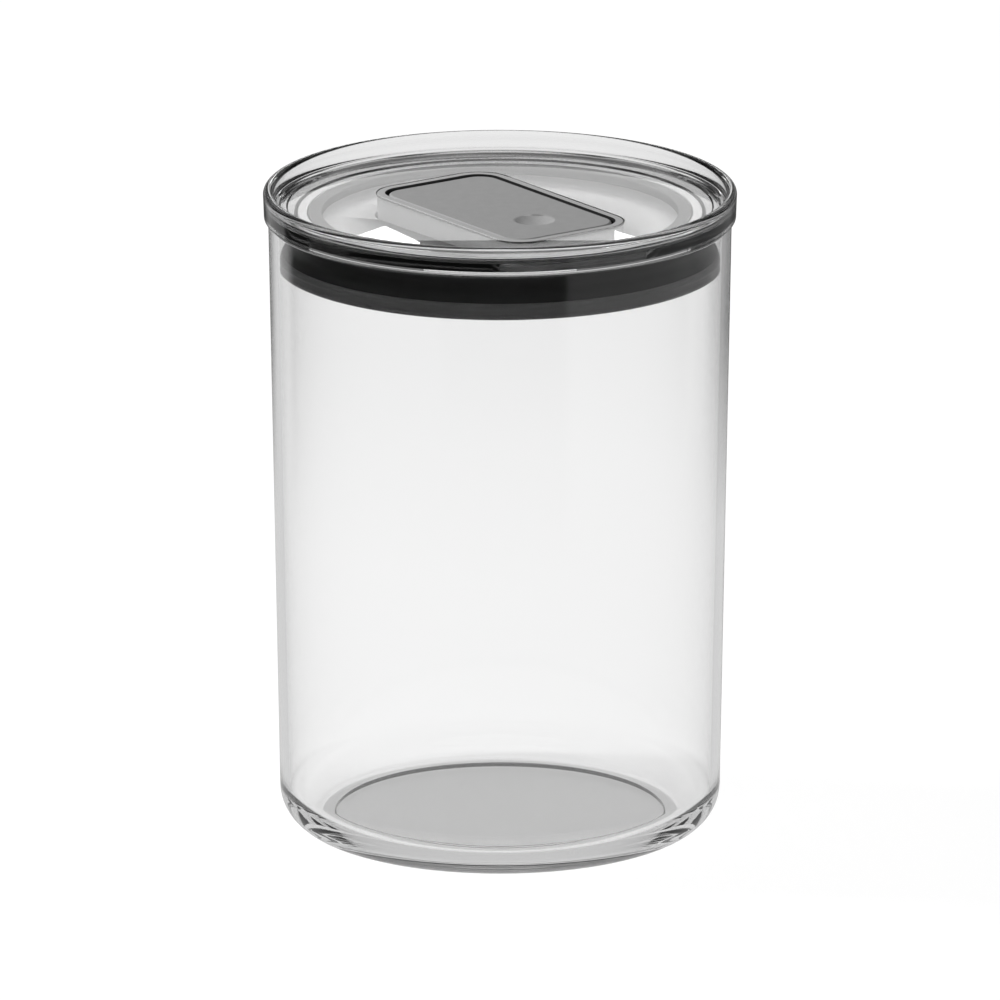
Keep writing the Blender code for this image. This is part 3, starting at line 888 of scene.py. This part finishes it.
def makeFloor(s, cameraAzimuth):
    bm = bmesh.new()
    bmesh.ops.create_circle(bm, cap_ends=True, segments=s["roundSides"], radius=s["floorRadius"])
    bmesh.ops.translate(bm, verts=bm.verts, vec=(0, 0, -s["floorBelow"]))
    floor = pieceFromBmesh("floor", bm)
    paint = Paint("paleFloor")
    paint.surface(baseColor=grey(s["floorColour"]), roughness=s["floorRoughness"])
    # the angle round the object, as a share of a whole turn
    east, north = paint.split(paint.where())[:2]
    turn = math.radians(cameraAzimuth)
    ahead = east * math.sin(turn) - north * math.cos(turn)
    aside = east * math.cos(turn) + north * math.sin(turn)
    angle = paint.node("ShaderNodeMath", {"operation": "ARCTAN2"}, {0: aside, 1: ahead})
    share = angle * (1 / math.tau) + 0.5
    around = paint.ramp(share, [(place / 360 + 0.5, level) for place, level in s["floorReflected"]])
    reach = paint.length(paint.where())
    near = paint.rescale(reach, s["nearFloor"], s["farFloor"], 1.0, 0.0)
    reflected = around * (1.0 - near) + near * s["nearFloorReflected"]
    # painted shadow: a disc of the floor under the jar is darker to rays that pass clear plastic, in place of
    # the jar's shade on the floor under it
    under = paint.node("ShaderNodeMath", {"operation": "LESS_THAN"}, {0: reach, 1: s["underJarRadius"]})
    underJarPaintedShadow = 1.0 - under * s["underJarPaintedShadowShare"]
    camera = paint.ray("Camera")
    through, mirrored, trapped = paint.studioRays()
    strength = (camera * s["white"] + through * underJarPaintedShadow * s["whiteThroughPlastic"] + mirrored * reflected
                + trapped * s["floorTrapped"])
    # a share of the lit floor is mixed in, which carries the object's shadow
    factor = (camera * (1 - s["shadowShare"]) + through * (1 - s["shadowShareThroughPlastic"])
              + mirrored + trapped)
    mix = paint.mixShaders(factor, Sock(paint.tree, paint.shader.outputs[0]), paint.glow(strength))
    paint.give(paint.output.inputs["Surface"], mix)
    floor.data.materials.append(paint.material)


def makeWorld(s):
    world = bpy.data.worlds.new("studio")
    bpy.context.scene.world = world
    world.use_nodes = True
    bench = NodeBench(world.node_tree)
    height = bench.split(bench.node("ShaderNodeTexCoord", output="Generated"))[2]
    throughLevel, mirroredLevel = [
        bench.ramp(height * 0.5 + 0.5, [(place / 2 + 0.5, level) for place, level in s[key]])
        for key in ("roomThroughPlastic", "roomReflected")]
    through, mirrored, trapped = bench.studioRays()
    strength = (bench.ray("Camera") * s["white"] + through * throughLevel + mirrored * mirroredLevel
                + trapped * s["roomTrapped"] + bench.ray("Diffuse") * s["roomLight"])
    background = world.node_tree.nodes["Background"]
    background.inputs["Color"].default_value = grey(1.0)
    bench.give(background.inputs["Strength"], strength)


def makeKeyLight(s, cameraAzimuth):
    lamp = bpy.data.lights.new("keyLight", "AREA")
    lamp.size = s["keySize"]
    lamp.energy = s["keyPower"]
    light = bpy.data.objects.new("keyLight", lamp)
    aimAtAxis(light, cameraAzimuth + s["keyAzimuth"], s["keyElevation"], s["keyDistance"], s["keyAimHeight"])
    light.visible_glossy = False
    light.visible_transmission = False


def glowingSheet(name, bm, level, mirrorOnly=False):
    # a studio sheet that only reflections and clear plastic show, or with mirrorOnly reflections alone
    sheet = pieceFromBmesh(name, bm)
    paint = Paint(name + "Glow")
    glow = paint.glow(level)
    if mirrorOnly:
        shown = paint.ray("Glossy") * (1.0 - paint.ray("Transmission"))
        glow = paint.mixShaders(shown, paint.node("ShaderNodeBsdfTransparent"), glow)
    paint.give(paint.output.inputs["Surface"], glow)
    sheet.data.materials.append(paint.material)
    sheet.visible_camera = False
    sheet.visible_diffuse = False
    sheet.visible_shadow = False


def makeCards(s, cameraAzimuth):
    # the softboxes and the pale card behind the object that the lid's panel mirrors
    azimuth = math.radians(cameraAzimuth)
    away = Vector((-math.sin(azimuth), math.cos(azimuth), 0))
    right = Vector((math.cos(azimuth), math.sin(azimuth), 0))
    up = Vector((0, 0, 1))
    for name, cards, distance, light in (
            ("softboxCards", s["cards"], s["cardDistance"], s["cardLight"]),
            ("paleCard", [s["paleCard"]], s["paleCardDistance"], s["paleCardLight"])):
        bm = bmesh.new()
        for corners in cards:
            bm.faces.new([bm.verts.new((away * distance + right * x + up * z) * mm) for x, z in corners])
        glowingSheet(name, bm, light, mirrorOnly=True)


def makeFlag(s):
    # a dark band round the room a little above the lid, which gives the rim its black lines
    bm = bmesh.new()
    bmesh.ops.create_cone(bm, segments=s["roundSides"], radius1=s["flagRadius"], radius2=s["flagRadius"],
                          depth=s["flagTop"] - s["flagBottom"])
    bmesh.ops.translate(bm, verts=bm.verts, vec=(0, 0, (s["flagTop"] + s["flagBottom"]) / 2))
    glowingSheet("darkFlag", bm, s["flagLevel"])


makeCamera(cameraSettings)
makeFloor(studioSettings, cameraSettings["azimuth"])
makeWorld(studioSettings)
makeKeyLight(studioSettings, cameraSettings["azimuth"])
makeCards(studioSettings, cameraSettings["azimuth"])
makeFlag(studioSettings)
print("camera and studio ready")

makeJar(jarSettings)
makeLid(lidSettings)
print("clear jar and lid ready")

makeSeal(sealSettings)
makeRetainer(retainerSettings)
makePlate(plateSettings)
makeTray(traySettings)
print("seal, plate and tray ready")

leverPlastic = mouldedPaint("leverGrey", leverSettings["plastic"])
lever = makeLever(leverSettings)
dress(lever, leverPlastic, "lever")
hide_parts("lever")
for name, side in (("left_cam_ear", -1), ("right_cam_ear", 1)):
    dress(makeEar(name, leverSettings, side), leverPlastic, "lever")
print("lever ready")


# small parts that stay as the frame has them

smallSettings = {
    "stem": {"level": 0.2, "mottle": 0.04, "grainScale": 1000, "mottleScale": 200,
             "smoothest": 0.4, "roughest": 0.5, "grainStrength": 0.1},
    "steel": {"dark": 0.5, "light": 0.62, "lineScale": 400, "lineStretch": 12, "lineStrength": 0.1,
              "lineDepth": 0.1, "smoothest": 0.22, "roughest": 0.38},
    "silicone": {"dark": 0.02, "light": 0.03, "smoothest": 0.4, "roughest": 0.5, "specular": 0.5},
}

nodePaint = {
    "lift_stem": mouldedPaint("stemGrey", smallSettings["stem"]),
    "lever_pin": turnedSteel("pinSteel", smallSettings["steel"]),
    "stem_screw": turnedSteel("screwSteel", smallSettings["steel"]),
    "stem_ring": siliconePaint("ringSilicone", smallSettings["silicone"]),
    "screw_washer": siliconePaint("washerSilicone", smallSettings["silicone"]),
}
for name, material in nodePaint.items():
    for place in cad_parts[name].material_slots:
        place.material = material
print("small parts ready")

scene = bpy.context.scene
scene.view_settings.view_transform = "Standard"
# light turns often inside clear walls, so its paths are long
scene.cycles.max_bounces = 64
scene.cycles.transmission_bounces = 64
scene.cycles.glossy_bounces = 48
scene.cycles.blur_glossy = 0
